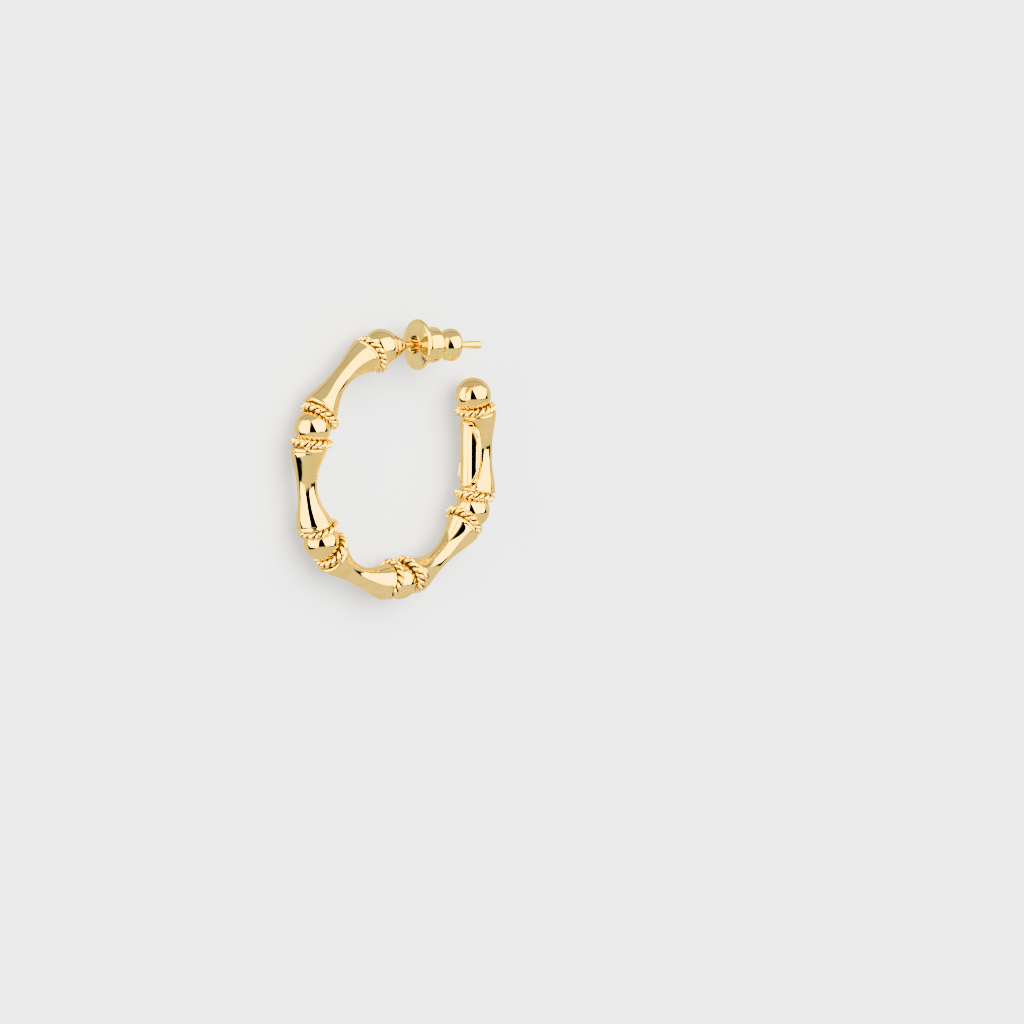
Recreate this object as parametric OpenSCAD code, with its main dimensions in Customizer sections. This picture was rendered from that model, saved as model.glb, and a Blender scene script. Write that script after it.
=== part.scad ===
// Bamboo hoop earring, lying on its side.
// X and Y are in the plane of the hoop, Y points to the top of the hoop as worn, and Z is up.
// The origin is the centre of the hoop.

/* [Hoop] */
// Radius of the circle through the middles of the balls
hoop_r = 15.1; // [15.0:0.05:15.2]
// Direction of the first ball, which carries the ear post
first_ball_deg = 99; // [98:0.5:100]
// Turn from each ball to the next
ball_step_deg = 57.84; // [57.6:0.02:58.0]

/* [Balls] */
// Radius of a ball
ball_r = 2.25; // [2.2:0.01:2.26]

/* [Rope rings] */
// Radius of a rope ring at the middle of its rope
rope_ring_r = 2.14; // [2.1:0.01:2.16]
// Half the width of the rope, which is the width of one strand
rope_r = 0.5; // [0.46:0.01:0.52]
// Turns of the two strands once around a ring
rope_turns = 8; // [7:1:9]
// Distance from the middle of a ball to the middle of the rope ring beside it
rope_ring_reach = 1.82; // [1.81:0.01:1.86]
// Slope of a rope ring to the nearest bamboo segment's straight line
rope_ring_slope = 11.4; // [11:0.2:12]

/* [Bamboo segments] */
// Distance from the middle of a ball to where the lip beside it begins
lip_reach = 2.82; // [2.79:0.01:2.86]
// How far the lip begins inside the hoop's circle
lip_inset = 0.45; // [0.42:0.01:0.48]
// Slope of a segment's lip to its straight line
end_slope = 8.6; // [8:0.2:10]
// How far a segment's waist bows out past its lips
bow_h = 0.7; // [0.6:0.02:0.76]
// Radius of a segment's waist
waist_r = 1.24; // [1.18:0.01:1.3]
// Radius of the flare where the lip begins
flare_r = 2.22; // [2.18:0.01:2.24]
// Radius of the lip at its widest
lip_r = 2.31; // [2.28:0.01:2.32]
// Radius of the lip's rounded edge
lip_bead_r = 0.26; // [0.22:0.01:0.27]
// How long the waist stays slim before it flares
flare_power = 2.2; // [2:0.05:2.4]
// How fully the flare bends back to level before the lip
flare_level_power = 1.4; // [1.25:0.05:1.6]
// Radius of the neck that joins a segment to its ball inside the rope ring
neck_r = 1.05; // [0.9:0.05:1.2]

/* [Plate] */
// Length of the oval plate along its segment
plate_l = 8.2; // [7.8:0.1:8.4]
// How far the plate wraps to each side of its middle line
plate_wrap_deg = 76; // [70:1:78]
// Turn of the plate about the middle of its face
plate_turn = 5.5; // [3:0.5:6]
// Distance from the hoop's centre to the middle of the plate's face
plate_face_reach = 11.6; // [11.5:0.02:11.7]
// Radius of the plate's rounded face
plate_face_r = 1.8; // [1.7:0.05:1.9]
// Width of the plate's raised rim
plate_rim = 0.28; // [0.2:0.02:0.32]
// Height of the rim over the plate's face
plate_rim_h = 0.12; // [0.08:0.01:0.14]
// Thickness of the plate at the middle of its face
plate_t = 1.5; // [1.45:0.01:1.6]
// Width of the foot that carries the plate on the segment's waist
plate_foot_w = 1.8; // [1.4:0.1:2.0]

/* [Ear post] */
// Tilt of the post out of the plane of the hoop
post_rise_deg = 10.6; // [10:0.2:11]
// Fall of the post towards the hoop's free end
post_fall_deg = 4.8; // [4:0.2:5.6]
// Height of the post's line over the middle of its ball
post_offset = 0.3; // [0.2:0.05:0.35]
// Radius of the post
post_r = 0.4; // [0.39:0.01:0.42]
// Radius of the post's thicker tip
tip_r = 0.47; // [0.45:0.01:0.48]
// Distance from the ball's middle to where the tip reaches its full radius
tip_reach = 12.9; // [12.8:0.05:13.2]
// Distance from the ball's middle to the post's end
post_reach = 14.75; // [14:0.25:15.5]
// Radius of the tapered collar where it sits on its ball
collar_r = 1.6; // [1.5:0.02:1.64]
// Radius of the collar's small end
collar_end_r = 1.17; // [1.14:0.01:1.2]
// Distance from the ball's middle to the end of the collar
collar_reach = 2.55; // [2.5:0.01:2.6]
// Radius of the solder cone at its root
cone_r = 1.0; // [0.96:0.01:1.02]
// Distance from the ball's middle to the end of the solder cone
cone_reach = 3.44; // [3.4:0.01:3.46]
// Height of the solder cone's line over the middle of its ball
cone_offset = 0.15; // [0.1:0.01:0.18]

/* [Clutch] */
// Distance from the ball's middle to the rim of the clutch's disc
clutch_reach = 5.18; // [5.1:0.02:5.3]
// Radius of the clutch's disc
disc_r = 3.18; // [3.1:0.02:3.2]
// Radius of the disc's domed face
dome_r = 12; // [11:0.5:13]
// Radius of the clutch's wide mouth
mouth_r = 1.12; // [1.1:0.01:1.15]
// Height of the mouth's lip over the rim of the disc
mouth_lip_h = 0.39; // [0.35:0.01:0.42]
// Radius of the barrel's first bulge
bulge_r = 2.2; // [2.14:0.02:2.24]
// Radius of the barrel's second bulge
tail_bulge_r = 2.04; // [1.98:0.02:2.08]
// Radius of the groove between the two bulges
groove_r = 1.27; // [1.2:0.01:1.4]
// Distance from the disc's rim to the end of the clutch
clutch_l = 6.1; // [6.0:0.02:6.2]

/* [Hidden] */
// Space kept between pieces that meet
gap = 0.03;
// Radial running clearance of the clutch over the post's tip
slide_gap = 0.02;
plate_segment = 5;
half_step = ball_step_deg / 2;

// Sides of the lofted segments and steps of the swept ropes
segment_sides = 20;
flare_steps = 8;
rope_steps_per_turn = 6;

// Segment measures, in the segment's own plane: x away from the hoop's centre, y along the segment
lip_polar_r = norm([hoop_r - lip_inset, lip_reach]);
lip_polar_deg = half_step - atan2(lip_reach, hoop_r - lip_inset);
lip_x = lip_polar_r * cos(lip_polar_deg);
lip_y = lip_polar_r * sin(lip_polar_deg);
waist_x = lip_x + bow_h;
joint_x = hoop_r * cos(half_step);
joint_y = hoop_r * sin(half_step);
neck_reach = ball_r + gap;
lip_start = -50;

metal = "goldenrod";
rope_metal = "darkgoldenrod";
clutch_metal = "gold";

// Lofts

// A closed solid through rings of points, given as a list of rings with equal counts
module loft(rings) {
    sides = len(rings[0]);
    last = len(rings) - 1;
    points = [for (ring = rings) for (p = ring) p];
    walls = [for (k = [0:last - 1]) for (i = [0:sides - 1])
        let (j = (i + 1) % sides)
        each [[k * sides + i, k * sides + j, (k + 1) * sides + j],
              [k * sides + i, (k + 1) * sides + j, (k + 1) * sides + i]]];
    caps = [[for (i = [sides - 1:-1:0]) i], [for (i = [0:sides - 1]) last * sides + i]];
    polyhedron(points = points, faces = concat(walls, caps), convexity = 4);
}

// A round section: middle x and y, lean of its plane from the x axis, and radius
function section(row) = [for (i = [0:segment_sides - 1])
    let (a = 360 * i / segment_sides)
    [row[0] + row[3] * cos(a) * cos(row[2]),
     row[1] + row[3] * cos(a) * sin(row[2]),
     row[3] * sin(a)]];

// Bamboo segments

// One half of a segment from its waist to its neck, as rows of middle x, middle y, lean and radius
function flare_row(f, grow) =
    [lip_x + bow_h * (1 - f * f), lip_y * f, f * end_slope,
     grow + waist_r + (flare_r - waist_r) * (1 - pow(1 - pow(f, flare_power), flare_level_power))];
// The lip's round bead, from where it rises out of the flare to its end beside the rope ring
function lip_row(turn, grow) =
    let (along = lip_bead_r * (sin(turn) - sin(lip_start)))
    [lip_x - along * sin(end_slope), lip_y + along * cos(end_slope), end_slope,
     grow + lip_r - lip_bead_r * (1 - cos(turn))];
function neck_row(reach, grow) =
    [joint_x + reach * sin(rope_ring_slope), joint_y - reach * cos(rope_ring_slope), rope_ring_slope,
     grow + neck_r];
function half_rows(grow) = concat(
    [for (k = [0:flare_steps]) flare_row(k / flare_steps, grow)],
    [for (turn = [lip_start, -20, 15, 50, 90]) lip_row(turn, grow)],
    [neck_row(neck_reach + 0.3, grow), neck_row(neck_reach, grow)]);
function mirrored(rows) = [for (k = [len(rows) - 1:-1:1]) [rows[k][0], -rows[k][1], -rows[k][2], rows[k][3]]];

module segment_solid(grow = 0) {
    rows = half_rows(grow);
    loft([for (row = concat(mirrored(rows), rows)) section(row)]);
}

module at_segment(number) {
    rotate([0, 0, first_ball_deg + (number - 0.5) * ball_step_deg])
        children();
}

module bamboo(number) {
    color(metal)
        at_segment(number)
            segment_solid();
}

// Balls

module ball(number) {
    color(metal)
        rotate([0, 0, first_ball_deg + (number - 1) * ball_step_deg])
            translate([hoop_r, 0, 0])
                sphere(r = ball_r, $fn = 64);
}

// Rope rings

// Outline of two strands side by side: distance from the rope's middle at each turn around it
rope_outline = [[0, 1], [48, 0.82], [90, 0.5], [132, 0.82],
                [180, 1], [228, 0.82], [270, 0.5], [312, 0.82]];

// A rope ring around the z axis
module rope_ring_solid() {
    steps = rope_turns * rope_steps_per_turn;
    corners = len(rope_outline);
    points = [for (k = [0:steps - 1]) for (row = rope_outline)
        let (around = 360 * k / steps,
             twist = row[0] + around * rope_turns,
             r = rope_ring_r + rope_r * row[1] * cos(twist))
        [r * cos(around), r * sin(around), rope_r * row[1] * sin(twist)]];
    // A whole number of turns brings every corner back to itself where the sweep closes
    faces = [for (k = [0:steps - 1]) for (i = [0:corners - 1])
        let (j = (i + 1) % corners, m = (k + 1) % steps)
        each [[k * corners + i, k * corners + j, m * corners + i],
              [k * corners + j, m * corners + j, m * corners + i]]];
    polyhedron(points = points, faces = faces, convexity = 6);
}

// Odd rings sit at the start of a segment and even rings at its end
module rope_ring(number) {
    segment = floor((number + 1) / 2);
    side = number % 2 == 1 ? -1 : 1;
    color(rope_metal)
        at_segment(segment)
            translate([joint_x, side * joint_y, 0])
                rotate([0, 0, side * rope_ring_slope])
                    translate([0, -side * rope_ring_reach, 0])
                        rotate([-90, 0, 0])
                            rope_ring_solid();
}

// Plate

// An ellipse that is wrapped around the plate's face, as seen square on
function wrapped_oval(length, wrap, count = 36) = [for (i = [0:count - 1])
    let (a = 360 * i / count)
    [length / 2 * cos(a), plate_face_r * sin(wrap * sin(a))]];

// A block with a wrapped oval outline whose height runs along x
module oval_block(length, wrap, from_x, to_x) {
    translate([to_x, 0, 0])
        rotate([0, -90, 0])
            linear_extrude(to_x - from_x)
                rotate(90 + plate_turn)
                    polygon(wrapped_oval(length, wrap));
}

// The round bar whose side is the plate's face
module plate_bar(r) {
    translate([plate_face_reach + plate_face_r, 0, 0])
        rotate([90, 0, 0])
            cylinder(r = r, h = plate_l + 2, center = true, $fn = 96);
}

module plate_foot() {
    foot_l = plate_l * 0.6;
    translate([plate_face_reach + plate_t / 2, -foot_l / 2, -plate_foot_w / 2])
        cube([waist_x - waist_r - plate_face_reach, foot_l, plate_foot_w]);
}

module plate() {
    front_x = plate_face_reach - 0.5;
    back_x = plate_face_reach + plate_t;
    rim_turn = plate_rim / plate_face_r * 180 / PI;
    color(metal)
        at_segment(plate_segment)
            difference() {
                union() {
                    intersection() {
                        oval_block(plate_l, plate_wrap_deg, front_x, back_x);
                        plate_bar(plate_face_r);
                    }
                    plate_foot();
                }
                difference() {
                    oval_block(plate_l - 2 * plate_rim, plate_wrap_deg - rim_turn, front_x, back_x - 0.1);
                    plate_bar(plate_face_r - plate_rim_h);
                }
                segment_solid(gap);
            }
}

// Ear post

// The post's own frame: z along the post from the level of the ball's middle
module at_post(offset = post_offset) {
    translate([hoop_r * cos(first_ball_deg), hoop_r * sin(first_ball_deg) + offset, 0])
        rotate([0, 0, -post_fall_deg])
            rotate([0, 90 - post_rise_deg, 0])
                children();
}

// The tapered collar, which is cut to the ball where it sits
module collar() {
    start = ball_r * 0.6;
    land_reach = 1.72;
    edge = 0.07;
    rotate_extrude($fn = 64)
        polygon([[0, start], [collar_r, start], [collar_r, land_reach],
                 [collar_end_r, collar_reach - edge], [collar_end_r - edge, collar_reach],
                 [0, collar_reach]]);
}

// The cone of solder round the post's root, with one soft step
module solder_cone() {
    root_reach = collar_reach - 0.35;
    step_reach = collar_reach + 0.42;
    step_r = cone_r - 0.15;
    rotate_extrude($fn = 64)
        polygon([[0, root_reach], [cone_r, root_reach], [cone_r, collar_reach + 0.07],
                 [step_r + 0.03, step_reach - 0.12], [step_r, step_reach],
                 [step_r - 0.12, step_reach + 0.1], [post_r + 0.14, cone_reach - 0.08],
                 [post_r, cone_reach], [0, cone_reach]]);
}

// The straight post and its thicker, rounded tip
module post_wire() {
    round_l = 0.3;
    swell_l = 0.75;
    root_reach = collar_reach - 0.25;
    rotate_extrude($fn = 64)
        polygon([[0, root_reach], [post_r, root_reach], [post_r, tip_reach - swell_l],
                 [post_r + 0.02, tip_reach - 0.7 * swell_l], [tip_r, tip_reach],
                 [tip_r, post_reach - round_l], [tip_r - 0.05, post_reach - 0.5 * round_l],
                 [tip_r - 0.15, post_reach - 0.2 * round_l], [tip_r - 0.3, post_reach],
                 [0, post_reach]]);
}

module ear_post() {
    color(metal)
        difference() {
            union() {
                at_post(0)
                    collar();
                at_post(cone_offset)
                    solder_cone();
                at_post()
                    post_wire();
            }
            rotate([0, 0, first_ball_deg])
                translate([hoop_r, 0, 0])
                    sphere(r = ball_r + gap, $fn = 64);
        }
}

// Clutch

// Points along an arc of a round outline, with the radius from the post first
function arc_points(r_middle, z_middle, r, from, to, steps) = [for (k = [0:steps])
    let (a = from + (to - from) * k / steps)
    [r_middle + r * cos(a), z_middle + r * sin(a)]];
// Fall of the domed face from its middle
function dome_fall(r) = dome_r - sqrt(dome_r * dome_r - r * r);

module clutch() {
    bore_r = tip_r + slide_gap;
    funnel_l = 1.0;
    lip_t = 0.08;
    lip_edge_r = mouth_r + 2 * lip_t;
    lip_edge_z = 0.04 - mouth_lip_h;
    rim_t = 0.24;
    rim_at = 0.17;
    disc_neck_r = bulge_r - 0.16;
    ring_r = 0.13;
    ring_at = 0.9;
    bulge_start = 1.22;
    bulge_round = 0.48;
    bulge_end = 3.05;
    groove_at = 3.5;
    tail_at = 5.12;
    tail_rise_power = 2.2;
    tail_round = clutch_l - tail_at;
    end_r = 0.9;
    face_r_from = lip_edge_r;
    face_r_to = disc_r - 2 * rim_t;
    outline = concat(
        // Mouth, which narrows to the bore, and its slim rolled lip
        [[bore_r, funnel_l], [bore_r + 0.23, 0.7 * funnel_l], [mouth_r - 0.14, 0.1]],
        arc_points(mouth_r + lip_t, lip_t - mouth_lip_h, lip_t, 180, 300, 4),
        // Domed face and rolled rim of the disc
        [for (k = [0:6]) let (r = face_r_from + (face_r_to - face_r_from) * k / 6)
            [r, lip_edge_z + dome_fall(r) - dome_fall(face_r_from)]],
        arc_points(disc_r - rim_t, rim_at, rim_t, -80, 90, 8),
        // Back of the disc and the small ring beside it
        [[bulge_r + 0.15, 0.6], [disc_neck_r + 0.04, 0.72]],
        arc_points(disc_neck_r, ring_at, ring_r, -60, 60, 4),
        // First bulge, with a flat top and a steep end
        [[disc_neck_r - 0.02, 1.1], [bulge_r - 0.1, bulge_start], [bulge_r - 0.03, bulge_start + 0.25],
         [bulge_r, bulge_start + 0.6]],
        arc_points(bulge_r - bulge_round, bulge_end - bulge_round, bulge_round, 0, 75, 5),
        // Groove, then the second bulge, which rises slowly and ends round
        [[groove_r + 0.16, bulge_end + 0.08], [groove_r + 0.02, groove_at - 0.15]],
        [for (k = [0:8]) let (away = 1 - k / 8)
            [tail_bulge_r - (tail_bulge_r - groove_r) * pow(away, tail_rise_power),
             tail_at - (tail_at - groove_at) * away]],
        [for (k = [1:6]) let (a = 90 * k / 6)
            [end_r + (tail_bulge_r - end_r) * cos(a), tail_at + tail_round * sin(a)]],
        [[bore_r, clutch_l]]);
    color(clutch_metal)
        at_post()
            translate([0, 0, clutch_reach])
                rotate_extrude($fn = 96)
                    polygon(outline);
}

ball(1);  // ball_1
ball(2);  // ball_2
ball(3);  // ball_3
ball(4);  // ball_4
ball(5);  // ball_5
ball(6);  // ball_6
bamboo(1);  // bamboo_1
bamboo(2);  // bamboo_2
bamboo(3);  // bamboo_3
bamboo(4);  // bamboo_4
bamboo(5);  // bamboo_5
rope_ring(1);  // rope_ring_1
rope_ring(2);  // rope_ring_2
rope_ring(3);  // rope_ring_3
rope_ring(4);  // rope_ring_4
rope_ring(5);  // rope_ring_5
rope_ring(6);  // rope_ring_6
rope_ring(7);  // rope_ring_7
rope_ring(8);  // rope_ring_8
rope_ring(9);  // rope_ring_9
rope_ring(10);  // rope_ring_10
plate();
ear_post();
clutch();
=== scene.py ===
# %% [markdown]
# Bamboo hoop earring in polished gold
#
# The real earring is a ring of cast and plated pieces: bowed bamboo segments, round balls, and
# small rings of twisted wire that hide each joint. It lies on its side on a pale table.
# The CAD model already fixes where every piece is, so this script only rebuilds the surfaces
# more finely and gives them their finish. Lengths below are in millimetres, as a jeweller
# would write them, and each mesh is scaled to metres when it is done.

import math

import bmesh
import bpy
from mathutils import Matrix, Vector


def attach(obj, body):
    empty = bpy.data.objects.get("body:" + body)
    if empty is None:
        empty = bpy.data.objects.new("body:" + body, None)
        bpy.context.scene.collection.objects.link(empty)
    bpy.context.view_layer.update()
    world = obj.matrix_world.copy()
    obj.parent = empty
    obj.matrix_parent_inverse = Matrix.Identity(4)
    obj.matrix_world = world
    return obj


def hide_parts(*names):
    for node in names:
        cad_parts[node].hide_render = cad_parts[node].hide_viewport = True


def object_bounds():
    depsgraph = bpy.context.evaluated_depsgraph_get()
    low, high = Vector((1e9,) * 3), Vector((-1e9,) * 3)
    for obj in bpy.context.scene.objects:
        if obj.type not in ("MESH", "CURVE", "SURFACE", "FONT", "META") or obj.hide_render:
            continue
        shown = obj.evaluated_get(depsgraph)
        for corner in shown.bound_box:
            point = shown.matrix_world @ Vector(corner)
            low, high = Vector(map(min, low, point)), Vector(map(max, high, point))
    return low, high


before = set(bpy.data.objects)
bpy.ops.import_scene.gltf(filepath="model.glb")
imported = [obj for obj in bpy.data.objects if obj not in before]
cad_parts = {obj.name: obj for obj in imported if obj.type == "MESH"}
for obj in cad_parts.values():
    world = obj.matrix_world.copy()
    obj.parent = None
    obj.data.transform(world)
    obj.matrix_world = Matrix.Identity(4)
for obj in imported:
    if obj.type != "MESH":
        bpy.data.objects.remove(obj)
cad_low, cad_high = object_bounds()
MM = 0.001
print("CAD box in mm:", [round(side / MM, 2) for side in cad_high - cad_low])

# %% [markdown]
# The camera
#
# Mirror-bright metal shows a different picture from every angle, so the camera comes first.
# A long lens far away keeps the balls round and the ring free of distortion, as in a studio
# photograph of jewellery. It is aimed a little to the right of the hoop, so that the hoop
# stands left of the middle of the picture.

# %% Place the camera
CAMERA_TURN = math.radians(42.6)
CAMERA_TIP = math.radians(9.5)
PIXEL = 0.125 * MM
FOCAL_PIXELS = 7700
FRAME_PIXELS = 1024
HOOP_LEFT_OF_MIDDLE = 116.8
HOOP_ABOVE_MIDDLE = 49.0

picture_right = Vector((math.cos(CAMERA_TURN), 0, math.sin(CAMERA_TURN)))
picture_up = Vector((
    math.sin(CAMERA_TURN) * math.sin(CAMERA_TIP),
    math.cos(CAMERA_TIP),
    -math.cos(CAMERA_TURN) * math.sin(CAMERA_TIP),
))
to_camera = picture_right.cross(picture_up)

lens = bpy.data.cameras.new("studio_camera")
lens.sensor_width = 36
lens.lens = lens.sensor_width * FOCAL_PIXELS / FRAME_PIXELS
lens.clip_start = 0.01
lens.clip_end = 10
camera = bpy.data.objects.new("studio_camera", lens)
bpy.context.collection.objects.link(camera)
stand = to_camera * FOCAL_PIXELS * PIXEL
aim = (HOOP_LEFT_OF_MIDDLE * picture_right - HOOP_ABOVE_MIDDLE * picture_up) * PIXEL
backward = (stand - aim).normalized()
sideways = picture_up.cross(backward).normalized()
camera.matrix_world = (
    Matrix.Translation(stand)
    @ Matrix((sideways, backward.cross(sideways), backward)).transposed().to_4x4()
)
bpy.context.scene.camera = camera
print("camera at", [round(value, 4) for value in stand], "lens", round(lens.lens, 1), "mm")

# %% [markdown]
# Small helpers for the shop work
#
# Two ways of making metal cover most pieces here. A turned piece, such as the post or the
# clutch, is an outline spun round an axis, as on a lathe. A swept piece, such as a bamboo
# segment or a twisted ring, is one outline carried along a path, as wire is drawn. Both are
# bmesh operators, so the meshes come out as clean rings of quads.

# %% Outline and lathe


def softened(outline, reach, times):
    """Rounds the corners of an outline by cutting each one back, at most by reach."""
    for _ in range(times):
        cut = [outline[0]]
        for start, end in zip(outline, outline[1:]):
            share = min(0.25, reach / math.dist(start, end))
            cut.append(tuple(a + (b - a) * share for a, b in zip(start, end)))
            cut.append(tuple(b + (a - b) * share for a, b in zip(start, end)))
        outline = cut + [outline[-1]]
        reach *= 0.5
    return outline


def arc_points(middle, radius, start, end, steps):
    """Points of a rounded corner, from one angle to another round its middle."""
    angles = [math.radians(start + (end - start) * step / steps) for step in range(steps + 1)]
    return [
        (middle[0] + radius * math.cos(angle), middle[1] + radius * math.sin(angle))
        for angle in angles
    ]


def turned(bm, outline, steps, closed=False):
    """Spins an outline of (radius, height) points round the Z axis."""
    points = [bm.verts.new((radius, 0, height)) for radius, height in outline]
    pairs = list(zip(points, points[1:] + points[:1] if closed else points[1:]))
    wire = points + [bm.edges.new(pair) for pair in pairs]
    bmesh.ops.spin(
        bm, geom=wire, cent=(0, 0, 0), axis=(0, 0, 1), angle=math.tau, steps=steps,
        use_merge=True,
    )


square = [(1, 0), (1, 1), (0, 1)]
print("softened corner:", len(softened(square, reach=0.2, times=2)), "points")

# %% Sweep along a path


def new_ring(extruded):
    """Picks the outermost points and edges of what an extrusion has just made."""
    points = [item for item in extruded if isinstance(item, bmesh.types.BMVert)]
    fresh = set(points)
    edges = [
        item for item in extruded
        if isinstance(item, bmesh.types.BMEdge) and fresh.issuperset(item.verts)
    ]
    return points, edges


def swept(bm, edges, rows):
    """Extrudes a ring of edges from the place of the first row to each later one."""
    for row, following in zip(rows, rows[1:]):
        points, edges = new_ring(bmesh.ops.extrude_edge_only(bm, edges=edges)["geom"])
        bmesh.ops.transform(bm, matrix=following @ row.inverted(), verts=points)


print("sweep ready: one ring of faces for each step of the path")

# %% Close a shape and put it on the earring
MERGE_REACH = 0.0005


def closed_up(bm):
    """Closes seams, fills open ends and turns every face outwards."""
    bmesh.ops.remove_doubles(bm, verts=bm.verts, dist=MERGE_REACH)
    bmesh.ops.holes_fill(bm, edges=[edge for edge in bm.edges if edge.is_boundary], sides=0)
    bmesh.ops.recalc_face_normals(bm, faces=bm.faces)


def placed(bm, matrix):
    """Gives a copy of a shape, moved to its place on the earring."""
    copy = bm.copy()
    bmesh.ops.transform(copy, matrix=matrix, verts=copy.verts)
    return copy


def loose_object(bm, name):
    """Makes an object in metres from a shape in millimetres."""
    bmesh.ops.scale(bm, vec=(MM, MM, MM), verts=bm.verts)
    mesh = bpy.data.meshes.new(name)
    bm.to_mesh(mesh)
    bm.free()
    made = bpy.data.objects.new(name, mesh)
    bpy.context.collection.objects.link(made)
    return made


def put_on(made, node, body, material, crease=35):
    """Shades a finished piece and lets it stand for its CAD node."""
    made.data.shade_smooth()
    made.data.set_sharp_from_angle(angle=math.radians(crease))
    made.data.materials.clear()
    made.data.materials.append(material)
    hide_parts(node)
    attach(made, body)


print("points nearer than", MERGE_REACH, "mm become one")

# %% [markdown]
# Gold
#
# The metal is brass under a thin coat of gold, polished until it mirrors the room. Its colour
# comes from the reflection itself, so the shader is fully metallic. A real plated surface is
# never perfect: the polish leaves a faint haze that varies from place to place, and buffing
# leaves waves too shallow to see except in the edges of the reflections. Both are noise on
# object coordinates. Every metal turns whiter where it is seen at a very low angle, and an
# edge tint holds that back, so that the rims stay gold. The wire of the rope rings is a paler
# gold, and the clutch is a bought part from another plating bath.

# %% Mix the gold finishes
EDGE_TINT = (0.97, 0.87, 0.69, 1)
PATCHES_A_METRE = 420.0
SMEARS_A_METRE = 900.0
WAVES_A_METRE = 330.0


def node_of(tree, kind, **values):
    """Adds a shader node and sets its properties and unlinked inputs by name."""
    made = tree.nodes.new(kind)
    for name, value in values.items():
        if name in made.inputs:
            made.inputs[name].default_value = value
        else:
            setattr(made, name, value)
    return made


def gold_finish(name, bright, deep, polish, haze, wave):
    """Makes a plated gold: two tones, a range of roughness and a faint wave, its height in mm."""
    material = bpy.data.materials.new(name)
    material.use_nodes = True
    tree = material.node_tree
    tree.nodes.clear()
    output = node_of(tree, "ShaderNodeOutputMaterial")
    shader = node_of(tree, "ShaderNodeBsdfPrincipled", Metallic=1.0)
    shader.inputs["Specular Tint"].default_value = EDGE_TINT
    place = node_of(tree, "ShaderNodeTexCoord").outputs["Object"]

    patches = node_of(tree, "ShaderNodeTexNoise", Scale=PATCHES_A_METRE, Detail=3.0)
    tones = node_of(tree, "ShaderNodeMix", data_type="RGBA")
    tones.inputs["A"].default_value = (*deep, 1)
    tones.inputs["B"].default_value = (*bright, 1)
    tone_range = node_of(
        tree, "ShaderNodeMapRange", interpolation_type="SMOOTHSTEP",
        **{"From Min": 0.35, "From Max": 0.65},
    )
    tree.links.new(place, patches.inputs["Vector"])
    tree.links.new(patches.outputs["Fac"], tone_range.inputs["Value"])
    tree.links.new(tone_range.outputs["Result"], tones.inputs["Factor"])
    tree.links.new(tones.outputs["Result"], shader.inputs["Base Color"])

    smears = node_of(
        tree, "ShaderNodeTexNoise", Scale=SMEARS_A_METRE, Detail=5.0, Distortion=0.6,
    )
    smear_range = node_of(
        tree, "ShaderNodeMapRange",
        **{"From Min": 0.3, "From Max": 0.7, "To Min": polish, "To Max": haze},
    )
    tree.links.new(place, smears.inputs["Vector"])
    tree.links.new(smears.outputs["Fac"], smear_range.inputs["Value"])
    tree.links.new(smear_range.outputs["Result"], shader.inputs["Roughness"])

    buffing = node_of(tree, "ShaderNodeTexNoise", Scale=WAVES_A_METRE, Detail=2.0)
    relief = node_of(tree, "ShaderNodeBump", Strength=1.0, Distance=wave * MM)
    tree.links.new(place, buffing.inputs["Vector"])
    tree.links.new(buffing.outputs["Fac"], relief.inputs["Height"])
    tree.links.new(relief.outputs["Normal"], shader.inputs["Normal"])
    tree.links.new(shader.outputs["BSDF"], output.inputs["Surface"])
    return material


gold = gold_finish(
    "polished_gold", bright=(0.89, 0.69, 0.36), deep=(0.85, 0.635, 0.29),
    polish=0.02, haze=0.06, wave=0.02,
)
wire_gold = gold_finish(
    "wire_gold", bright=(0.90, 0.74, 0.44), deep=(0.85, 0.67, 0.36),
    polish=0.02, haze=0.06, wave=0.015,
)
clutch_gold = gold_finish(
    "clutch_gold", bright=(0.89, 0.70, 0.37), deep=(0.85, 0.645, 0.30),
    polish=0.07, haze=0.13, wave=0.02,
)
print("finishes:", [material.name for material in (gold, wire_gold, clutch_gold)])

# %% [markdown]
# The balls
#
# Six solid balls stand between the segments, one at each end of the hoop among them. An
# icosphere has no poles, so its reflections run evenly over the whole ball, where the many
# thin triangles at the poles of a globe would pinch them.

# %% Set the balls round the hoop
HOOP_R = 15.1
FIRST_BALL = 99.0
BALL_STEP = 57.84
BALL_R = 2.25
BALLS = 6


def around_hoop(degrees):
    """Turns a piece made at angle 0 to its angle round the hoop."""
    return Matrix.Rotation(math.radians(degrees), 4, "Z")


ball = bmesh.new()
bmesh.ops.create_icosphere(
    ball, subdivisions=6, radius=BALL_R, matrix=Matrix.Translation((HOOP_R, 0, 0)),
)
for number in range(BALLS):
    shape = placed(ball, around_hoop(FIRST_BALL + BALL_STEP * number))
    name = f"ball_{number + 1}"
    put_on(loose_object(shape, f"polished_{name}"), name, "hoop", gold)
ball.free()
print(BALLS, "balls of radius", BALL_R, "mm")

# %% [markdown]
# The bamboo segments
#
# Each segment copies a length of bamboo: slim at the waist, flared to both ends, and finished
# with a rolled lip. It is bowed to the curve of the hoop. One circle is carried along the bow,
# and at every row it is turned, moved and sized. The rows of the lip follow a small bead, and
# behind it a short neck runs through the rope ring to the ball. The CAD lip has 20 flat sides,
# so the rounder lip here is drawn a hair smaller, to stay inside the CAD box.

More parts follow.
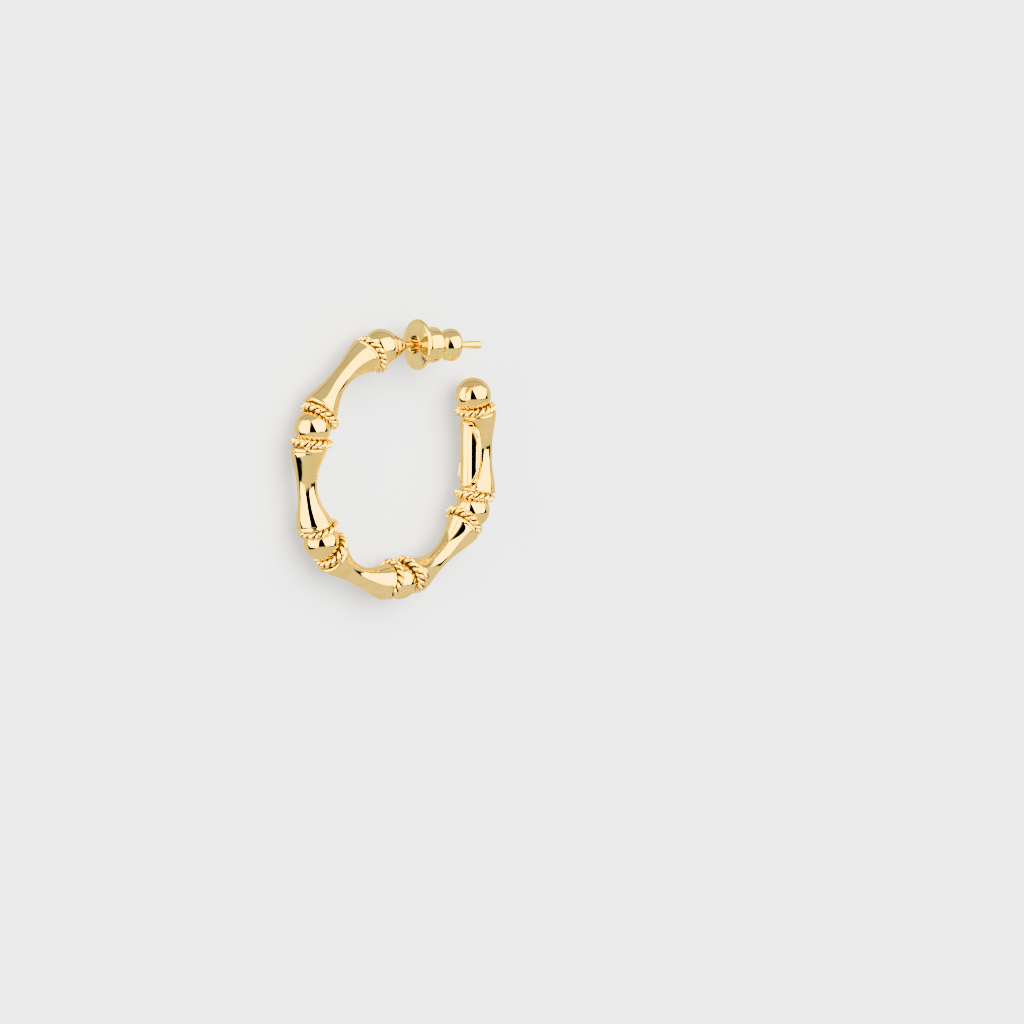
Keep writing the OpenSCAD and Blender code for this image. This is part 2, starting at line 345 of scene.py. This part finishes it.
# %% Measure a segment
HALF_STEP = BALL_STEP / 2
LIP_REACH = 2.82
LIP_INSET = 0.45
END_SLOPE = 8.6
BOW_H = 0.7
WAIST_R = 1.24
FLARE_R = 2.22
FLARE_POWER = 2.2
FLARE_LEVEL_POWER = 1.4
LIP_R = 2.298
LIP_BEAD_R = 0.26
LIP_START = -50
LIP_END = 90
LIP_STEP = 10
NECK_R = 1.05
NECK_REACH = 2.28
NECK_COLLAR = 0.3
RING_SLOPE = 11.4
SEGMENT_SIDES = 80
FLARE_ROWS = 30

lip_polar_r = math.hypot(HOOP_R - LIP_INSET, LIP_REACH)
lip_polar = math.radians(HALF_STEP) - math.atan2(LIP_REACH, HOOP_R - LIP_INSET)
lip_x = lip_polar_r * math.cos(lip_polar)
lip_y = lip_polar_r * math.sin(lip_polar)
waist_x = lip_x + BOW_H
joint_x = HOOP_R * math.cos(math.radians(HALF_STEP))
joint_y = HOOP_R * math.sin(math.radians(HALF_STEP))
print("a segment is", round(2 * lip_y, 2), "mm long and its waist", 2 * WAIST_R, "mm thick")

# %% Rows of a segment


def segment_row(x, y, lean_degrees, radius):
    """Places a circle of the segment: its middle, its lean and its radius."""
    lean = math.radians(lean_degrees)
    across = Vector((math.cos(lean), math.sin(lean), 0)) * radius
    along = Vector((-math.sin(lean), math.cos(lean), 0))
    turn = Matrix((across, Vector((0, 0, radius)), along)).transposed().to_4x4()
    return Matrix.Translation((x, y, 0)) @ turn


def flare_row(share, grow=0.0):
    """A row of the flare: share is 0 at the waist and 1 at the lip."""
    swell = 1 - (1 - abs(share) ** FLARE_POWER) ** FLARE_LEVEL_POWER
    radius = WAIST_R + (FLARE_R - WAIST_R) * swell + grow
    return (lip_x + BOW_H * (1 - share * share), lip_y * share, share * END_SLOPE, radius)


def lip_row(turn_degrees):
    """A row of the lip's bead, from LIP_START at the flare to LIP_END at the rope ring."""
    turn = math.radians(turn_degrees)
    along = LIP_BEAD_R * (math.sin(turn) - math.sin(math.radians(LIP_START)))
    slope = math.radians(END_SLOPE)
    radius = LIP_R - LIP_BEAD_R * (1 - math.cos(turn))
    return (lip_x - along * math.sin(slope), lip_y + along * math.cos(slope), END_SLOPE, radius)


def neck_row(reach):
    """A row of the neck, given by its distance from the ball's centre."""
    slope = math.radians(RING_SLOPE)
    x = joint_x + reach * math.sin(slope)
    y = joint_y - reach * math.cos(slope)
    return (x, y, RING_SLOPE, NECK_R)


def mirrored(row):
    """The same row at the other end of the segment."""
    x, y, lean, radius = row
    return (x, -y, -lean, radius)


half_rows = [flare_row(step / FLARE_ROWS) for step in range(1, FLARE_ROWS)]
half_rows += [lip_row(turn) for turn in range(LIP_START, LIP_END + 1, LIP_STEP)]
half_rows += [neck_row(NECK_REACH + NECK_COLLAR), neck_row(NECK_REACH)]
whole_rows = [mirrored(row) for row in reversed(half_rows)] + [flare_row(0)] + half_rows
segment_rows = [segment_row(*row) for row in whole_rows]
print(len(segment_rows), "rows from one neck to the other")

# %% Sweep the segments
SEGMENTS = 5

segment = bmesh.new()
bmesh.ops.create_circle(
    segment, cap_ends=False, radius=1, segments=SEGMENT_SIDES, matrix=segment_rows[0],
)
swept(segment, segment.edges[:], segment_rows)
closed_up(segment)


def segment_place(number):
    """Turns a segment made at angle 0 to its place, counted from 1."""
    return around_hoop(FIRST_BALL + BALL_STEP * (number - 0.5))


for number in range(1, SEGMENTS + 1):
    name = f"bamboo_{number}"
    shape = placed(segment, segment_place(number))
    put_on(loose_object(shape, f"bowed_{name}"), name, "hoop", gold, crease=50)
print(SEGMENTS, "segments of", len(segment.faces), "faces")

# %% [markdown]
# The rope rings
#
# Two strands of round wire are twisted together and bent into a ring. Cut across, the pair
# looks like a figure of eight, so the outline is two ovals that meet in the middle. Carried
# round the ring while it turns eight times, it leaves the slanting grooves of a rope.
# The bottom of each groove is painted dark brown in the base colour, as shade.
# Each point of the mesh notes how near the rope's outside it is, and the finish reads that
# note, so the painted shade follows the strands.

# %% Twist a rope ring
ROPE_RING_R = 2.14
ROPE_R = 0.5
ROPE_TURNS = 8
ROPE_RING_REACH = 1.82
STRAND_R = 0.255
STRAND_WIDE = 0.34
STRAND_OFFSET = ROPE_R - STRAND_R
STRAND_SIDES = 28
STEPS_A_TURN = 20


def half_rope(bm, side):
    """Makes one strand's oval and keeps the part on its own side of the middle."""
    oval = Matrix.Translation((side * STRAND_OFFSET, 0, 0)) @ Matrix.Diagonal(
        (STRAND_R, STRAND_WIDE, 1, 1)
    )
    points = bmesh.ops.create_circle(
        bm, cap_ends=False, radius=1, segments=STRAND_SIDES, matrix=oval,
    )["verts"]
    edges = list({edge for point in points for edge in point.link_edges})
    bmesh.ops.bisect_plane(
        bm, geom=points + edges, plane_co=(0, 0, 0), plane_no=(side, 0, 0), clear_inner=True,
    )


def rope_row(share):
    """Places the outline at a share of the way round the ring."""
    around = Matrix.Rotation(math.tau * share, 4, "Z")
    twist = Matrix.Rotation(math.tau * share * ROPE_TURNS, 4, "Z")
    upright = Matrix.Rotation(math.radians(90), 4, "X")
    return around @ Matrix.Translation((ROPE_RING_R, 0, 0)) @ upright @ twist


rope = bmesh.new()
half_rope(rope, 1)
half_rope(rope, -1)
bmesh.ops.remove_doubles(rope, verts=rope.verts, dist=2 * MERGE_REACH)
rope_steps = ROPE_TURNS * STEPS_A_TURN
rope_rows = [rope_row(step / rope_steps) for step in range(rope_steps + 1)]
bmesh.ops.transform(rope, matrix=rope_rows[0], verts=rope.verts)
swept(rope, rope.edges[:], rope_rows)
closed_up(rope)
print("one rope ring:", len(rope.faces), "faces")

# %% Paint shade into the grooves
GROOVE_BOTTOM = 0.13
GROOVE_TOP = 0.42
# Painted shade: this brown is mixed into the wire's colour at the bottom of each groove.
GROOVE_SHADE_BROWN = (0.22, 0.11, 0.025)

# Each point keeps how clear it is of the painted groove shade: 0 at the groove's bottom, 1 at the
# rope's outside.
clear_of_groove_shade = rope.verts.layers.float.new("clear_of_groove_shade")
for point in rope.verts:
    from_ring = math.hypot(point.co.x, point.co.y) - ROPE_RING_R
    height = math.hypot(from_ring, point.co.z)
    share = min(1, max(0, (height - GROOVE_BOTTOM) / (GROOVE_TOP - GROOVE_BOTTOM)))
    point[clear_of_groove_shade] = share * share * (3 - 2 * share)


def paint_groove_shade(material, attribute, brown):
    """Mixes painted shade, a brown, into a finish's colour where the mesh's own attribute is low.
    """
    tree = material.node_tree
    shader = tree.nodes["Principled BSDF"]
    clean = shader.inputs["Base Color"].links[0].from_socket
    reach = node_of(tree, "ShaderNodeAttribute", attribute_name=attribute).outputs["Fac"]
    mixed = node_of(tree, "ShaderNodeMix", data_type="RGBA")
    mixed.inputs["A"].default_value = (*brown, 1)
    tree.links.new(reach, mixed.inputs["Factor"])
    tree.links.new(clean, mixed.inputs["B"])
    tree.links.new(mixed.outputs["Result"], shader.inputs["Base Color"])


# The wire gold gets painted shade in its grooves.
paint_groove_shade(wire_gold, "clear_of_groove_shade", GROOVE_SHADE_BROWN)
print("grooves dark below", GROOVE_TOP, "mm from the rope's middle")

# %% Set the rope rings
for number in range(1, SEGMENTS + 1):
    for end, side in enumerate((-1, 1)):
        seat = (
            Matrix.Translation((joint_x, side * joint_y, 0))
            @ Matrix.Rotation(math.radians(side * RING_SLOPE), 4, "Z")
            @ Matrix.Translation((0, -side * ROPE_RING_REACH, 0))
            @ Matrix.Rotation(math.radians(-90), 4, "X")
        )
        name = f"rope_ring_{2 * number - 1 + end}"
        shape = placed(rope, segment_place(number) @ seat)
        put_on(
            loose_object(shape, f"twisted_{name}"), name, "hoop", wire_gold,
            crease=60,
        )
print(2 * SEGMENTS, "rope rings of", len(rope.faces), "faces")
rope.free()

# %% [markdown]
# Joining and cutting metal
#
# Soldered metal is one piece with a visible edge where its parts meet. A Boolean modifier
# makes that edge, and its result is kept as an ordinary mesh.

# %% Boolean cuts


def cut_or_join(made, tool, operation):
    """Applies one Boolean to a piece and throws the tool away."""
    step = made.modifiers.new("cut", "BOOLEAN")
    step.operation = operation
    step.solver = "EXACT"
    step.object = tool
    ready = made.evaluated_get(bpy.context.evaluated_depsgraph_get())
    result = bpy.data.meshes.new_from_object(ready)
    made.modifiers.clear()
    made.data = result
    bpy.data.objects.remove(tool)


print("boolean helper ready")

# %% [markdown]
# The plate
#
# A small oval plate sits on the inner side of the last segment. It is bent round like a
# piece of thick bar, so its face is a soft pad, and a fine raised rim runs round it. The
# oval is drawn flat, with its rings of points at the rim and across the face, and then
# wrapped round the bar. Its face is left bare.

# %% Draw the flat plate
PLATE_SEGMENT = 5
PLATE_L = 8.2
PLATE_WRAP = math.radians(76)
PLATE_TURN = math.radians(5.5)
PLATE_FACE_REACH = 11.6
PLATE_FACE_R = 1.8
PLATE_RIM = 0.28
PLATE_RIM_H = 0.12
PLATE_SIDES = 96
FACE_START = PLATE_RIM + 0.05
FACE_ROWS = 22
plate_half_w = PLATE_FACE_R * PLATE_WRAP
plate_half_l = PLATE_L / 2


def plate_row(inset, depth):
    """A ring of the flat oval, set in from its edge and down from its top."""
    return Matrix.Translation((0, 0, -depth)) @ Matrix.Diagonal(
        (plate_half_w - inset, plate_half_l - inset, 1, 1)
    )


rim_rows = [
    (0.0, 0.06), (0.012, 0.03), (0.03, 0.01), (0.06, 0.0), (PLATE_RIM - 0.07, 0.0),
    (PLATE_RIM - 0.04, 0.01), (PLATE_RIM - 0.02, 0.03), (PLATE_RIM, PLATE_RIM_H),
    (FACE_START, PLATE_RIM_H),
]
face_span = plate_half_w - FACE_START
face_rows = [
    (FACE_START + face_span * step / FACE_ROWS, PLATE_RIM_H) for step in range(1, FACE_ROWS)
]
plate_rows = [plate_row(*row) for row in rim_rows + face_rows]

plate = bmesh.new()
bmesh.ops.create_circle(
    plate, cap_ends=False, radius=1, segments=PLATE_SIDES, matrix=plate_rows[0],
)
outer_edges = plate.edges[:]
swept(plate, outer_edges, plate_rows)
bmesh.ops.rotate(
    plate, matrix=Matrix.Rotation(PLATE_TURN, 3, "Z"), cent=(0, 0, 0), verts=plate.verts,
)
print("flat plate:", PLATE_L, "by", round(2 * plate_half_w, 2), "mm")

# %% Wrap the plate round its bar
PLATE_T = 1.5
plate_axis_x = PLATE_FACE_REACH + PLATE_FACE_R
plate_back_x = PLATE_FACE_REACH + PLATE_T

for point in plate.verts:
    bend = point.co.x / PLATE_FACE_R
    reach = PLATE_FACE_R + point.co.z
    point.co = (
        plate_axis_x - reach * math.cos(bend), point.co.y, reach * math.sin(bend),
    )
wall_points = new_ring(bmesh.ops.extrude_edge_only(plate, edges=outer_edges)["geom"])[0]
for point in wall_points:
    point.co.x = plate_back_x
closed_up(plate)
plate_piece = loose_object(placed(plate, segment_place(PLATE_SEGMENT)), "wrapped_plate")
plate.free()
print("wrapped plate:", len(plate_piece.data.polygons), "faces")

# %% Stand the plate on its foot
FOOT_W = 1.8
FOOT_L = PLATE_L * 0.6
FOOT_EDGE_R = 0.12
FOOT_BITE = 0.4

foot = bmesh.new()
foot_front = PLATE_FACE_REACH + PLATE_T / 2
foot_back = waist_x - WAIST_R + FOOT_BITE
foot_size = (foot_back - foot_front, FOOT_L, FOOT_W)
bmesh.ops.create_cube(
    foot, size=1,
    matrix=Matrix.Translation(((foot_front + foot_back) / 2, 0, 0))
    @ Matrix.Diagonal((*foot_size, 1)),
)
bmesh.ops.bevel(
    foot, geom=foot.edges[:], offset=FOOT_EDGE_R, segments=3, profile=0.5, affect="EDGES",
    material=-1,
)
foot_tool = loose_object(placed(foot, segment_place(PLATE_SEGMENT)), "foot")
cut_or_join(plate_piece, foot_tool, "UNION")
foot.free()
print("with its foot:", len(plate_piece.data.polygons), "faces")

# %% Cut the foot to the segment
GAP = 0.03
CLEARANCE_ROWS = 20

clear_rows = [
    segment_row(*flare_row(step / CLEARANCE_ROWS, grow=GAP))
    for step in range(-CLEARANCE_ROWS, CLEARANCE_ROWS + 1)
]
clearance = bmesh.new()
bmesh.ops.create_circle(
    clearance, cap_ends=False, radius=1, segments=SEGMENT_SIDES, matrix=clear_rows[0],
)
swept(clearance, clearance.edges[:], clear_rows)
closed_up(clearance)
clearance_tool = loose_object(placed(clearance, segment_place(PLATE_SEGMENT)), "clearance")
cut_or_join(plate_piece, clearance_tool, "DIFFERENCE")
clearance.free()
segment.free()
put_on(plate_piece, "plate", "hoop", gold)
print("plate:", len(plate_piece.data.polygons), "faces")

# %% [markdown]
# The ear post
#
# The post is a straight wire with a thicker, rounded tip that keeps the clutch from slipping
# off. It stands on the first ball in a tapered collar, with a stepped cone of solder round its
# root. All three are turned. The solder and the wire sit a little above the middle of the
# collar, so each is a spin of its own that is then joined on.

# %% Measure the ear post
POST_RISE = 10.6
POST_FALL = 4.8
POST_OFFSET = 0.3
POST_R = 0.4
TIP_R = 0.47
TIP_REACH = 12.9
POST_REACH = 14.75
COLLAR_R = 1.6
COLLAR_END_R = 1.17
COLLAR_REACH = 2.55
CONE_R = 1.0
CONE_REACH = 3.44
CONE_OFFSET = 0.15
POST_SIDES = 72


def on_post(offset):
    """Stands a turned piece on the first ball, along the post."""
    first = math.radians(FIRST_BALL)
    foot_point = (HOOP_R * math.cos(first), HOOP_R * math.sin(first) + offset, 0)
    return (
        Matrix.Translation(foot_point)
        @ Matrix.Rotation(math.radians(-POST_FALL), 4, "Z")
        @ Matrix.Rotation(math.radians(90 - POST_RISE), 4, "Y")
    )


print("the wire ends", POST_REACH, "mm from the ball's centre")

# %% Outlines of the collar, the solder and the wire
cup_r = BALL_R + GAP
cup_end = 90 - math.degrees(math.asin(COLLAR_R / cup_r))
collar_outline = arc_points((0, 0), cup_r, 90, cup_end, steps=8) + softened(
    [(COLLAR_R, 1.66), (COLLAR_R, 1.72), (COLLAR_END_R, COLLAR_REACH - 0.07),
     (COLLAR_END_R - 0.07, COLLAR_REACH), (0, COLLAR_REACH)],
    reach=0.05, times=2,
)
STEP_R = CONE_R - 0.15
STEP_REACH = COLLAR_REACH + 0.42
cone_outline = [(0, 2.4)] + softened(
    [(0.8, 2.4), (CONE_R, 2.45), (CONE_R, COLLAR_REACH + 0.07),
     (STEP_R + 0.03, STEP_REACH - 0.12), (STEP_R, STEP_REACH), (STEP_R - 0.12, STEP_REACH + 0.1),
     (POST_R + 0.14, CONE_REACH - 0.08), (POST_R, CONE_REACH), (0, CONE_REACH)],
    reach=0.04, times=2,
)
TIP_ROUND = 0.3
TIP_FLAT_R = 0.17
TIP_STEPS = 6
wire_outline = [(0, 2.45)] + softened(
    [(POST_R - 0.05, 2.45), (POST_R, 2.5), (POST_R, TIP_REACH - 0.75),
     (POST_R + 0.02, TIP_REACH - 0.52), (TIP_R, TIP_REACH), (TIP_R, POST_REACH - TIP_ROUND)],
    reach=0.06, times=2,
)
wire_outline += [
    (
        TIP_FLAT_R + (TIP_R - TIP_FLAT_R) * math.cos(angle),
        POST_REACH - TIP_ROUND * (1 - math.sin(angle)),
    )
    for angle in (math.radians(90 * step / TIP_STEPS) for step in range(1, TIP_STEPS + 1))
]
wire_outline.append((0, POST_REACH))
outlines = (collar_outline, cone_outline, wire_outline)
print("points of the outlines:", [len(outline) for outline in outlines])

# %% Turn and join the ear post


def turned_on_post(outline, offset, name):
    """Turns an outline and stands it on the first ball."""
    shape = bmesh.new()
    turned(shape, outline, POST_SIDES)
    closed_up(shape)
    bmesh.ops.transform(shape, matrix=on_post(offset), verts=shape.verts)
    return loose_object(shape, name)


post_piece = turned_on_post(collar_outline, 0, "ear_post_wire")
cut_or_join(post_piece, turned_on_post(cone_outline, CONE_OFFSET, "solder"), "UNION")
cut_or_join(post_piece, turned_on_post(wire_outline, POST_OFFSET, "wire"), "UNION")
put_on(post_piece, "ear_post", "hoop", gold)
print("ear post:", len(post_piece.data.polygons), "faces")

# %% [markdown]
# The clutch
#
# The clutch is what holds the earring to the ear: a wide disc with a domed face, a rolled rim
# and a slim lip round its mouth, and behind it a barrel of two bulges, drilled through for
# the post. It is one outline spun round the post's own axis. Its round places are arcs and
# its corners are softened, as a press and a polishing wheel leave them. Its disc, like the
# lips of the segments, is drawn a hair smaller than in the CAD model.

# %% Measure the clutch
CLUTCH_REACH = 5.18
DISC_R = 3.174
DOME_R = 12
FACE_AT = -0.35
MOUTH_R = 1.12
MOUTH_LIP_H = 0.39
MOUTH_LIP_T = 0.08
RIM_T = 0.24
RIM_AT = 0.17
RING_R = 0.13
RING_AT = 0.9
NECK_STEP = 0.16
BULGE_START = 1.22
BORE_R = 0.49
BULGE_R = 2.2
BULGE_END = 3.05
BULGE_ROUND = 0.48
GROOVE_R = 1.27
GROOVE_AT = 3.5
TAIL_R = 2.04
TAIL_AT = 5.12
TAIL_RISE_POWER = 2.2
TAIL_END_R = 0.9
CLUTCH_L = 6.1
CLUTCH_SIDES = 96
DOME_STEPS = 24
TAIL_STEPS = 20
TAIL_BACK_STEPS = 15
face_edge = MOUTH_R + 2 * MOUTH_LIP_T
print("disc", 2 * DISC_R, "mm wide, clutch", CLUTCH_L, "mm long")

# %% Outline of the clutch


def dome_height(radius):
    """Height of the disc's domed face at a distance from its middle."""
    top = math.sqrt(DOME_R ** 2 - face_edge ** 2)
    return FACE_AT + top - math.sqrt(DOME_R ** 2 - radius ** 2)


def tail_front(share):
    """The second bulge's slow rise, from the groove at 0 to its widest place at 1."""
    radius = TAIL_R - (TAIL_R - GROOVE_R) * (1 - share) ** TAIL_RISE_POWER
    return (radius, GROOVE_AT + (TAIL_AT - GROOVE_AT) * share)


def tail_back(angle):
    """The second bulge's round end."""
    radius = TAIL_END_R + (TAIL_R - TAIL_END_R) * math.cos(angle)
    return (radius, TAIL_AT + (CLUTCH_L - TAIL_AT) * math.sin(angle))


mouth = softened(
    [(BORE_R, 1.0), (0.72, 0.7), (MOUTH_R - 0.14, 0.1), (MOUTH_R, -0.31)],
    reach=0.1, times=2,
)
mouth_lip = arc_points(
    (MOUTH_R + MOUTH_LIP_T, MOUTH_LIP_T - MOUTH_LIP_H), MOUTH_LIP_T, 190, 310, steps=8,
)
dome_span = DISC_R - 2 * RIM_T - face_edge
face_radii = [face_edge + dome_span * step / DOME_STEPS for step in range(DOME_STEPS + 1)]
face = [(radius, dome_height(radius)) for radius in face_radii]
rim = arc_points((DISC_R - RIM_T, RIM_AT), RIM_T, -80, 90, steps=18)
neck_r = BULGE_R - NECK_STEP
back = softened(
    [(BULGE_R + 0.4, 0.47), (BULGE_R + 0.15, 0.6), (neck_r + 0.04, 0.72)],
    reach=0.05, times=1,
)
ring = arc_points((neck_r, RING_AT), RING_R, -60, 60, steps=8)
barrel = softened(
    [(neck_r - 0.02, 1.1), (BULGE_R - 0.1, BULGE_START), (BULGE_R - 0.03, BULGE_START + 0.25),
     (BULGE_R, BULGE_START + 0.6), (BULGE_R, BULGE_END - BULGE_ROUND - 0.1)],
    reach=0.05, times=2,
)
bulge = arc_points(
    (BULGE_R - BULGE_ROUND, BULGE_END - BULGE_ROUND), BULGE_ROUND, 0, 75, steps=14,
)
groove = [(GROOVE_R + 0.16, BULGE_END + 0.08), (GROOVE_R + 0.02, GROOVE_AT - 0.15)]
tail = [tail_front(step / TAIL_STEPS) for step in range(TAIL_STEPS + 1)]
tail += [
    tail_back(math.radians(90 * step / TAIL_BACK_STEPS)) for step in range(1, TAIL_BACK_STEPS + 1)
]
clutch_outline = (
    mouth + mouth_lip + face + rim + back + ring + barrel + bulge + groove + tail
    + [(BORE_R, CLUTCH_L)]
)
print("clutch outline:", len(clutch_outline), "points")

# %% Spin the clutch
clutch = bmesh.new()
turned(clutch, clutch_outline, CLUTCH_SIDES, closed=True)
closed_up(clutch)
clutch_place = on_post(POST_OFFSET) @ Matrix.Translation((0, 0, CLUTCH_REACH))
clutch_piece = loose_object(placed(clutch, clutch_place), "turned_clutch")
clutch.free()
put_on(clutch_piece, "clutch", "clutch", clutch_gold)
print("clutch:", len(clutch_piece.data.polygons), "faces")

# %% [markdown]
# The table
#
# The earring lies on a plain pale sheet of translucent plastic, lit a little from below, so
# that shadows stay light. It is only a stage, and a soft, even noise keeps it from looking
# like an empty colour. A photographer keeps the sheet out of the mirror of the gold with
# cards, and here it is simply left out of reflections.

# %% Lay the table
TABLE_R = 600
TABLE_SIDES = 128
TABLE_TONE = 0.13
TABLE_GRAIN = 0.003
GRAINS_A_METRE = 60.0
TABLE_GLOW = 0.515

table = bmesh.new()
bmesh.ops.create_circle(
    table, cap_ends=True, radius=TABLE_R, segments=TABLE_SIDES,
    matrix=Matrix.Translation((0, 0, cad_low.z / MM)),
)
table_top = loose_object(table, "table")

paper = bpy.data.materials.new("pale_paper")
paper.use_nodes = True
paper_shader = paper.node_tree.nodes["Principled BSDF"]
paper_shader.inputs["Roughness"].default_value = 0.85
paper_shader.inputs["Specular IOR Level"].default_value = 0.1
paper_place = node_of(paper.node_tree, "ShaderNodeTexCoord").outputs["Object"]
paper_grain = node_of(
    paper.node_tree, "ShaderNodeTexNoise", Scale=GRAINS_A_METRE, Detail=2.0,
)
paper_tone = node_of(paper.node_tree, "ShaderNodeMix", data_type="RGBA")
paper_shader.inputs["Emission Color"].default_value = (1, 1, 1, 1)
paper_shader.inputs["Emission Strength"].default_value = TABLE_GLOW
paper_tone.inputs["A"].default_value = (TABLE_TONE - TABLE_GRAIN,) * 3 + (1,)
paper_tone.inputs["B"].default_value = (TABLE_TONE + TABLE_GRAIN,) * 3 + (1,)
paper.node_tree.links.new(paper_place, paper_grain.inputs["Vector"])
paper.node_tree.links.new(paper_grain.outputs["Fac"], paper_tone.inputs["Factor"])
paper.node_tree.links.new(paper_tone.outputs["Result"], paper_shader.inputs["Base Color"])
table_top.data.materials.append(paper)
table_top.visible_glossy = False
print("table at", round(cad_low.z / MM, 3), "mm")

# %% [markdown]
# The studio light
#
# Polished metal is only as good as what it mirrors. The studio is a pale room with two large
# soft lamps and dark cards below and between them, which draw the black edges that give
# gold its depth. Overhead, a ceiling a little darker than the walls ends in a thin shadow
# line. The room is a world shader. A direction in it is found from the point of a
# ball that would mirror it towards the place the picture is taken from, so a lamp can be
# drawn as a plain polygon over the face of a ball, just as it shows in a photograph. These
# places are fixed numbers, and they stay where they are when the camera moves.

# %% Hang the lamps and cards
ROOM = 0.85
LAMP = 6.0
CEILING = 0.70
CORNICE = 0.50
CEILING_START = (0.38, 0.46)
CEILING_EDGE = (0.83, 0.80)
CORNICE_INSIDE = (0.78, 0.80)
CORNICE_OUTSIDE = (0.84, 0.82)
EDGE_SOFTNESS = 0.015
LEFT_LAMP = [
    (-0.16, 0.40), (-0.55, 0.40), (-0.72, 0.10), (-0.72, -0.12), (-0.60, -0.26),
    (-0.23, -0.26), (-0.16, -0.20),
]
RIGHT_LAMP = [
    (-0.03, 0.36), (0.24, -0.20), (0.66, -0.16), (0.74, 0.0), (0.72, 0.34), (0.45, 0.52),
    (0.12, 0.44),
]
LAMPS = [LEFT_LAMP, RIGHT_LAMP]
DARK_CARDS = [
    [(-0.04, 0.37), (-0.17, -0.24), (0.25, -0.23)],
    [(0.77, 0.16), (0.42, -0.24), (0.83, -0.18)],
    [(-0.76, -0.12), (-0.68, -0.38), (-0.33, -0.36)],
]
print("lamps:", len(LAMPS), "dark cards:", len(DARK_CARDS))

# %% Helpers for the sky's nodes
world = bpy.data.worlds.new("studio")
world.use_nodes = True
bpy.context.scene.world = world
sky = world.node_tree
sky.nodes.clear()


def sky_value(kind, *inputs, **values):
    """Adds a node to the sky and links or sets its inputs in order."""
    made = node_of(sky, kind, **values)
    for socket, value in zip(made.inputs, inputs):
        if isinstance(value, bpy.types.NodeSocket):
            sky.links.new(value, socket)
        else:
            socket.default_value = value
    return made


def math_value(operation, *inputs):
    """A Math node's result."""
    return sky_value("ShaderNodeMath", *inputs, operation=operation).outputs[0]


def dot_value(vector, direction):
    """A vector's part along a fixed direction."""
    made = sky_value("ShaderNodeVectorMath", vector, tuple(direction), operation="DOT_PRODUCT")
    return made.outputs["Value"]


def blended(below, above, mask):
    """Lays one brightness over another where the mask is 1."""
    made = node_of(sky, "ShaderNodeMix", data_type="FLOAT")
    for name, value in (("Factor", mask), ("A", below), ("B", above)):
        if isinstance(value, bpy.types.NodeSocket):
            sky.links.new(value, made.inputs[name])
        else:
            made.inputs[name].default_value = value
    return made.outputs["Result"]


def soft_step(value, start, end):
    """0 before start, 1 after end and smooth between."""
    made = sky_value(
        "ShaderNodeMapRange", value, interpolation_type="SMOOTHSTEP",
        **{"From Min": start, "From Max": end},
    )
    return made.outputs["Result"]


print("sky helpers ready")

# %% Find the place on the ball that mirrors a direction
direction = node_of(sky, "ShaderNodeTexCoord").outputs["Generated"]
halfway = sky_value(
    "ShaderNodeVectorMath", direction, tuple(to_camera), operation="ADD",
).outputs["Vector"]
facing = sky_value("ShaderNodeVectorMath", halfway, operation="NORMALIZE").outputs["Vector"]
face_x = dot_value(facing, picture_right)
face_y = dot_value(facing, picture_up)
on_face = sky_value("ShaderNodeCombineXYZ", face_x, face_y, 1.0).outputs["Vector"]
from_middle = sky_value(
    "ShaderNodeVectorMath",
    sky_value("ShaderNodeCombineXYZ", face_x, face_y, 0.0).outputs["Vector"],
    operation="LENGTH",
).outputs["Value"]
print("nodes so far:", len(sky.nodes))

# %% Draw the room, the cards and the lamps


def polygon_mask(corners):
    """1 inside a convex polygon on the ball's face, with a soft edge."""
    area = sum(a[0] * b[1] - a[1] * b[0] for a, b in zip(corners, corners[1:] + corners[:1]))
    turn = 1 if area > 0 else -1
    inside = None
    for (x0, y0), (x1, y1) in zip(corners, corners[1:] + corners[:1]):
        length = math.hypot(x1 - x0, y1 - y0)
        normal_x, normal_y = -turn * (y1 - y0) / length, turn * (x1 - x0) / length
        distance = dot_value(on_face, (normal_x, normal_y, -normal_x * x0 - normal_y * y0))
        inside = distance if inside is None else math_value("MINIMUM", inside, distance)
    return soft_step(inside, -EDGE_SOFTNESS, EDGE_SOFTNESS)


above = soft_step(face_y, *CEILING_START)
ceiling = math_value("MULTIPLY", above, soft_step(from_middle, *CEILING_EDGE))
cornice = math_value(
    "MULTIPLY", soft_step(from_middle, *CORNICE_INSIDE), soft_step(from_middle, *CORNICE_OUTSIDE),
)
brightness = blended(ROOM, CEILING, ceiling)
brightness = blended(brightness, CORNICE, math_value("MULTIPLY", above, cornice))
for card in DARK_CARDS:
    brightness = blended(brightness, 0.0, polygon_mask(card))
for lamp in LAMPS:
    brightness = blended(brightness, LAMP, polygon_mask(lamp))
backdrop = node_of(sky, "ShaderNodeLightPath").outputs["Is Camera Ray"]
brightness = blended(brightness, ROOM, backdrop)
light = sky_value("ShaderNodeBackground")
sky.links.new(brightness, light.inputs["Strength"])
light.inputs["Color"].default_value = (1, 1, 1, 1)
sky_output = node_of(sky, "ShaderNodeOutputWorld")
sky.links.new(light.outputs["Background"], sky_output.inputs["Surface"])
print("sky nodes:", len(sky.nodes))

# %% [markdown]
# Developing the picture
#
# The neutral view transform keeps pale grey and gold at their own colours and only rolls off
# the brightest reflections, as a careful studio photograph does.

# %% Choose the view transform
bpy.context.scene.view_settings.view_transform = "Khronos PBR Neutral"
bpy.context.scene.view_settings.look = "None"
print("view transform:", bpy.context.scene.view_settings.view_transform)
